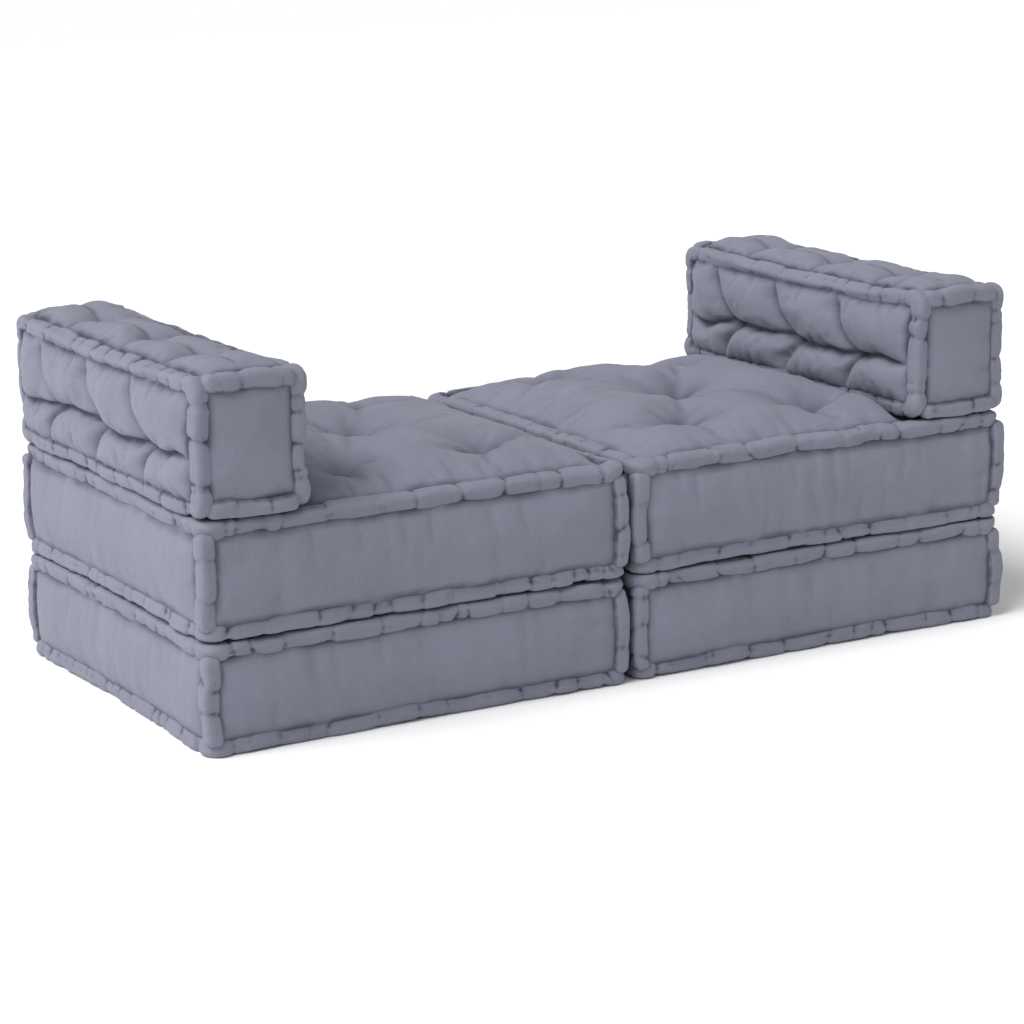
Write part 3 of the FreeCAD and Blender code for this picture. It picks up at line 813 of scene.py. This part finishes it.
# Stuffed roll along a path: a rounded square section pinched by stitches at seeded distances. Each
# stitch is a cusp in the radius along the roll, slanted round it, with gathers beside it, and draws the
# roll in. Between stitches each length of roll has its own swelling and offset.
def rollTube(path, length, closed, outward, kind, seed, corners=None):
    form, radius, around = rollForm, kind["radius"], rollForm["around"]
    stitchRange, depthRange = kind["stitchRange"], kind["depthRange"]
    rng = np.random.default_rng(seed)
    count = len(path)
    step = length / (count if closed else count - 1)
    along = np.arange(count) * step
    if closed:
        tangent = unit(np.roll(path, -1, axis=0) - np.roll(path, 1, axis=0))
    else:
        tangent = unit(np.gradient(path, axis=0))
    normal = unit(outward - (outward * tangent).sum(axis=1, keepdims=True) * tangent)
    other = np.cross(tangent, normal)
    angle = np.arange(around) * turn / around
    stitches = []
    mark = rng.uniform(*stitchRange) * 0.6
    while mark < length - 0.4 * stitchRange[0]:
        stitches.append(mark)
        mark += rng.uniform(*stitchRange)
    facing, power = angle - turn / 8, form["squareness"]
    square = (np.abs(np.cos(facing)) ** power + np.abs(np.sin(facing)) ** power) ** (-1 / power)
    bite = form["bite"][0] + form["bite"][1] * np.sin(angle) ** 2
    pinch = np.zeros((count, around))
    gather = np.zeros((count, around))
    pull = np.zeros(count)
    for mark in stitches:
        depth = depthRange[0] + (depthRange[1] - depthRange[0]) * rng.uniform() ** form["depthPower"]
        slant = rng.normal(0, form["slant"])
        lead = rng.uniform(0, turn)
        gap = along[:, None] - mark - slant * radius * np.sin(angle + lead)[None]
        plain = along - mark
        if closed:
            gap = (gap + length / 2) % length - length / 2
            plain = (plain + length / 2) % length - length / 2
        near = np.abs(gap)
        pinch += depth * bite * falls(0, near, *form["pinch"])
        folds = rng.integers(*form["gatherFolds"])
        gather += falls(0, near, form["gather"]) * np.sin(folds * angle + rng.uniform(0, turn))[None]
        pull += np.exp(-np.abs(plain) / form["pullReach"]) * rng.uniform(*form["pullShare"])
    ringMark = along[:, None] / length * turn
    if closed:
        loop = np.concatenate([np.cos(ringMark), np.sin(ringMark)], axis=1) * length / turn
    else:
        loop = along[:, None]
    which = np.searchsorted(stitches, along) % (len(stitches) if closed else len(stitches) + 1)
    most = form["ownMost"]
    own = rng.normal(0, 1, (len(stitches) + 1, 3)).clip(-most, most)[which]
    own = (np.roll(own, 1, axis=0) + 2 * own + np.roll(own, -1, axis=0)) / 4
    height, shortest, longest = form["swell"]
    swell = 1 + height * waves(loop, seed + 1, shortest, longest)[:, None] + form["ownSwell"] * own[:, :1]
    if corners is not None:
        swell = swell + corners[:, None]
    drift = loop[:, -1:] if closed else 0 * ringMark
    spread = np.stack([loop[:, :1] + 0 * angle, radius * np.cos(angle)[None] + 0 * ringMark,
                       radius * np.sin(angle)[None] + drift], axis=2)
    fine = waves(spread.reshape(-1, 3), seed + 2, *form["fine"]).reshape(count, around)
    section = radius * (square * swell * (1 - np.minimum(pinch, form["pinchMost"])) + gather)
    section = section + form["fineHeight"] * fine
    if not closed:
        ends = np.minimum(along, along[::-1])
        section = section * ramp(ends + form["endStart"], form["endRound"])[:, None]
    sway = np.stack([waves(loop, seed + k, *form["swayWaves"]) for k in (3, 4)], axis=1)
    sway = form["sway"] * sway + form["ownSway"] * own[:, 1:]
    drawn = form["pullDepth"] * np.minimum(pull, form["pullMost"])[:, None]
    centre = path + normal * (sway[:, :1] - drawn) + other * sway[:, 1:]
    points = centre[:, None] + section[..., None] * (
        np.cos(angle)[None, :, None] * normal[:, None] + np.sin(angle)[None, :, None] * other[:, None])
    rows = np.arange(count if closed else count - 1)
    i, j = np.meshgrid(rows, np.arange(around), indexing="ij")
    nextI, nextJ = (i + 1) % count, (j + 1) % around
    quads = np.stack([i * around + j, i * around + nextJ, nextI * around + nextJ, nextI * around + j], axis=2)
    u = np.stack([i, i, i + 1, i + 1], axis=2) * step
    v = np.stack([j, j + 1, j + 1, j], axis=2) * radius * turn / around
    weave = np.stack([u, v], axis=3).reshape(-1, 2)
    polygons = quads.reshape(-1, 4).tolist()
    if not closed:
        polygons += [list(range(around))[::-1], list(range((count - 1) * around, count * around))]
        weave = np.concatenate([weave, np.zeros((2 * around, 2))])
    # Painted shade where the roll turns in against the panel and in the pinches at the stitches.
    tucked = ease(np.minimum(angle, turn - angle), *form["tuckedFrom"])
    tucked = tucked * np.clip(form["tuckedMean"] + form["tuckedSpread"] * fine, *form["tuckedLimits"])
    shades = form["plainShade"] + form["pinchShade"] * np.minimum(pinch, form["pinchShadeMost"])
    shades = shades + form["tuckedShade"] * tucked
    return points.reshape(-1, 3), polygons, weave, shades.ravel()


rollBed = 0.16


# Points of a roll pressed flat where the cushion rests on something or something rests on it.
def pressed(spec, local):
    for (axis, side), face in spec["faces"].items():
        if face in ("rest", "seat"):
            top = spec["half"][axis] + spec["rise"]
            under = True
            if face == "seat":
                under = local[:, 0] * spec["outward"] > rollBed
            local[:, axis] = np.where(under, side * np.minimum(side * local[:, axis], top), local[:, axis])
    return local


# One piece from one or more rolls of a cushion, pressed flat where it rests.
def rollPiece(spec, name, tubes, node):
    points, polygons, weave, shades = joined(tubes)
    piece = makePiece(name, toWorld(spec, pressed(spec, points)), polygons, weave, shades)
    piece.data.materials.append(rollCloth)
    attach(piece, spec["key"])
    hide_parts(node)


for spec in cushions:
    half = spec["half"]
    for way, ring in zip((-1, 1), spec["rings"]):
        path, length = ringLine(spec, way * half[2])
        sides = (path / half)[:, :2]
        flare = np.sign(sides) * ease(np.abs(sides), ringForm["turnStart"], 1.0)
        outward = np.concatenate([flare, np.full((len(path), 1), ringForm["lean"] * way)], axis=1)
        nearCorner = np.hypot(half[0] - np.abs(path[:, 0]), half[1] - np.abs(path[:, 1]))
        height, reach = ringForm["ear"]
        corners = height * np.exp(-(nearCorner / reach) ** 2)
        height, middle, reach = ringForm["neck"]
        corners = corners - height * np.exp(-((nearCorner - middle) / reach) ** 2)
        seed = spec["seed"] * 100 + (way > 0)
        tube = rollTube(path, length, True, outward, ringForm, seed, corners)
        rollPiece(spec, f"{spec['key']}_{ring}_edge", [tube], f"{spec['key']}_{ring}")
    tubes = []
    for signA, signB in ((-1, -1), (-1, 1), (1, -1), (1, 1)):
        rise = np.linspace(-1, 1, joinForm["samples"])
        bow = joinForm["bow"] * (1 - rise ** 2)
        path = np.stack([signA * (half[0] - rollInset + bow), signB * (half[1] - rollInset + bow),
                         (half[2] - joinForm["shortBy"]) * rise], axis=1)
        path, length = resample(path, joinForm["step"], False)
        outward = np.tile([signA, signB, 0.0], (len(path), 1))
        seed = spec["seed"] * 100 + 20 + signA * 2 + signB
        tubes.append(rollTube(path, length, False, outward, joinForm, seed))
    node = "cross_rolls" if spec["kind"] == "arm" else "corner_rolls"
    rollPiece(spec, f"{spec['key']}_{node}_edge", tubes, f"{spec['key']}_{node}")
print(f"stage: rolled edges made, {time.time() - started:.1f} s")


nubForm = {
    "radius": 0.0062,
    "lift": 0.001,
    "rings": 9,
    "around": 22,
    "poleGap": 0.12,
    "lobes": (0.17, 0.08),
    "lobeCount": (4, 7),
    "flatness": 0.62,
    "weave": (0.002, 0.0016),
    "shade": 0.45,
}


# Gathered nub of cloth drawn in by the twine: a low dome whose radius is folded into lobes.
def nubShape(place, normal, seed):
    form, rings, around = nubForm, nubForm["rings"], nubForm["around"]
    rng = np.random.default_rng(seed)
    side = unit(np.cross(normal, [0.31, 0.87, 0.39]))
    other = np.cross(normal, side)
    polar = np.linspace(form["poleGap"], math.pi - form["poleGap"], rings)
    angle = np.arange(around) * turn / around
    lobes = 1 + form["lobes"][0] * np.sin(rng.integers(*form["lobeCount"]) * angle + rng.uniform(0, turn))
    lobes = lobes + form["lobes"][1] * np.sin(3 * angle + rng.uniform(0, turn))
    flare = np.sin(polar)[:, None] * (1 + (lobes[None] - 1) * np.sin(polar)[:, None])
    height = form["flatness"] * np.cos(polar)[:, None] + 0 * angle
    points = place + form["radius"] * (flare[..., None] * (np.cos(angle)[None, :, None] * side
                                       + np.sin(angle)[None, :, None] * other) + height[..., None] * normal)
    i, j = np.meshgrid(np.arange(rings - 1), np.arange(around), indexing="ij")
    k = (j + 1) % around
    quads = np.stack([i * around + j, (i + 1) * around + j, (i + 1) * around + k, i * around + k], axis=2)
    polygons = quads.reshape(-1, 4).tolist()
    polygons += [list(range(around)), list(range((rings - 1) * around, rings * around))[::-1]]
    u = np.stack([i, i + 1, i + 1, i], axis=2) * form["weave"][0]
    v = np.stack([j, j, j + 1, j + 1], axis=2) * form["weave"][1]
    weave = np.concatenate([np.stack([u, v], axis=3).reshape(-1, 2), np.zeros((2 * around, 2))])
    # Each nub starts a little deeper in the painted shade than plain cloth.
    return points.reshape(-1, 3), polygons, weave, np.full(rings * around, form["shade"])


for spec in cushions:
    shell, nubs = spec["shell"], []
    if spec["kind"] == "arm":
        targets = [(2, way, (y, spec["tuftRow"])) for way in (-1, 1) for y in armTuftLine]
        targets += [(1, 1, (0.0, y)) for y in armTuftLine]
    else:
        targets = [(2, way, spot) for way in (-1, 1) for spot in spec["topTufts"]]
    for number, (axis, way, spot) in enumerate(targets):
        onFace = np.where(np.abs(shell["share"][:, axis] - way) < 1e-9)[0]
        one, two = (axis + 1) % 3, (axis + 2) % 3
        gap = np.hypot(shell["flat"][onFace, one] - spot[0], shell["flat"][onFace, two] - spot[1])
        normal = np.zeros(3)
        normal[axis] = way
        place = shell["local"][onFace[np.argmin(gap)]] + nubForm["lift"] * normal
        nubs.append(nubShape(place, normal, spec["seed"] * 50 + number))
    points, polygons, weave, shades = joined(nubs)
    piece = makePiece(f"{spec['key']}_tufts", toWorld(spec, points), polygons, weave, shades)
    piece.data.materials.append(knotCloth)
    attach(piece, spec["key"])
    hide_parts(f"{spec['key']}_tuft_ties")
print(f"stage: tufts made, {time.time() - started:.1f} s")


cameraFit = {
    "angles": (-30.04, 13.23, -0.90),
    "offset": (0.0156, -0.1954, -4.906),
    "focalPixels": 3060,
    "imagePixels": 1024,
    "sensor": 36,
}
azimuth, elevation, roll = (math.radians(v) for v in cameraFit["angles"])
back = np.array([math.sin(azimuth) * math.cos(elevation), -math.cos(azimuth) * math.cos(elevation),
                 math.sin(elevation)])
right = np.array([math.cos(azimuth), math.sin(azimuth), 0.0])
upward = np.cross(back, right)
tilted = np.stack([math.cos(roll) * right + math.sin(roll) * upward,
                   -math.sin(roll) * right + math.cos(roll) * upward, back])
matrix = np.eye(4)
matrix[:3, :3] = tilted.T
matrix[:3, 3] = -tilted.T @ np.array(cameraFit["offset"])
cameraData = bpy.data.cameras.new("camera")
cameraData.sensor_width = cameraFit["sensor"]
cameraData.lens = cameraFit["focalPixels"] / cameraFit["imagePixels"] * cameraFit["sensor"]
cameraData.clip_start, cameraData.clip_end = 0.1, 60
camera = bpy.data.objects.new("camera", cameraData)
scene.collection.objects.link(camera)
camera.matrix_world = Matrix(matrix.tolist())
scene.camera = camera

floorForm = {"reach": 12, "colour": (0.98, 0.98, 0.98, 1), "roughness": 0.9}
reach = floorForm["reach"]
floorMesh = bpy.data.meshes.new("floor")
floorMesh.from_pydata([(-reach, -reach, 0), (reach, -reach, 0), (reach, reach, 0), (-reach, reach, 0)], [],
                      [(0, 1, 2, 3)])
floor = bpy.data.objects.new("floor", floorMesh)
scene.collection.objects.link(floor)
floorMaterial = bpy.data.materials.new("floorPaint")
floorMaterial.use_nodes = True
feed(floorMaterial.node_tree, floorMaterial.node_tree.nodes["Principled BSDF"], {
    "Base Color": floorForm["colour"], "Roughness": floorForm["roughness"], "Specular IOR Level": 0.0})
floorMesh.materials.append(floorMaterial)

# The backdrop is white to the camera and in reflections, and half as bright as a light.
worldForm = {"lighting": 0.5, "seen": 1.0}
world = bpy.data.worlds.new("studio")
scene.world = world
world.use_nodes = True
tree = world.node_tree
path = tree.nodes.new("ShaderNodeLightPath").outputs
seen = addNode(tree, "ShaderNodeMath", {0: path["Is Camera Ray"], 1: path["Is Glossy Ray"]},
               operation="MAXIMUM")
also = addNode(tree, "ShaderNodeMath", {0: seen.outputs[0], 1: path["Is Transmission Ray"]},
               operation="MAXIMUM")
level = addNode(tree, "ShaderNodeMapRange", {
    "Value": also.outputs[0], "To Min": worldForm["lighting"], "To Max": worldForm["seen"]})
feed(tree, tree.nodes["Background"], {"Color": (1, 1, 1, 1), "Strength": level.outputs["Result"]})

lightForm = {
    "keyFrom": (-0.56, -0.11, 0.83),
    "keyAngle": 34,
    "keyStrength": 2.5,
    "sideFrom": (-1, 0, 0.2),
    "sidePlace": (-2.2, 0.2, 0.8),
    "sideSize": 1.2,
    "sidePower": 7,
}


# Turn of a light that shines from the given direction: its Z axis points there and its beam runs along -Z.
def lightTurn(source):
    return Vector(source).to_track_quat("Z", "Y").to_matrix().to_4x4()


keyData = bpy.data.lights.new("keyLight", "SUN")
keyData.angle = math.radians(lightForm["keyAngle"])
keyData.energy = lightForm["keyStrength"]
keyLight = bpy.data.objects.new("keyLight", keyData)
scene.collection.objects.link(keyLight)
keyLight.matrix_world = lightTurn(lightForm["keyFrom"])
sideData = bpy.data.lights.new("sideLight", "AREA")
sideData.size = lightForm["sideSize"]
sideData.energy = lightForm["sidePower"]
sideLight = bpy.data.objects.new("sideLight", sideData)
sideLight.visible_camera = False
scene.collection.objects.link(sideLight)
sideLight.matrix_world = Matrix.Translation(lightForm["sidePlace"]) @ lightTurn(lightForm["sideFrom"])
scene.view_settings.view_transform = "Standard"
print(f"stage: camera, floor and light made, {time.time() - started:.1f} s")
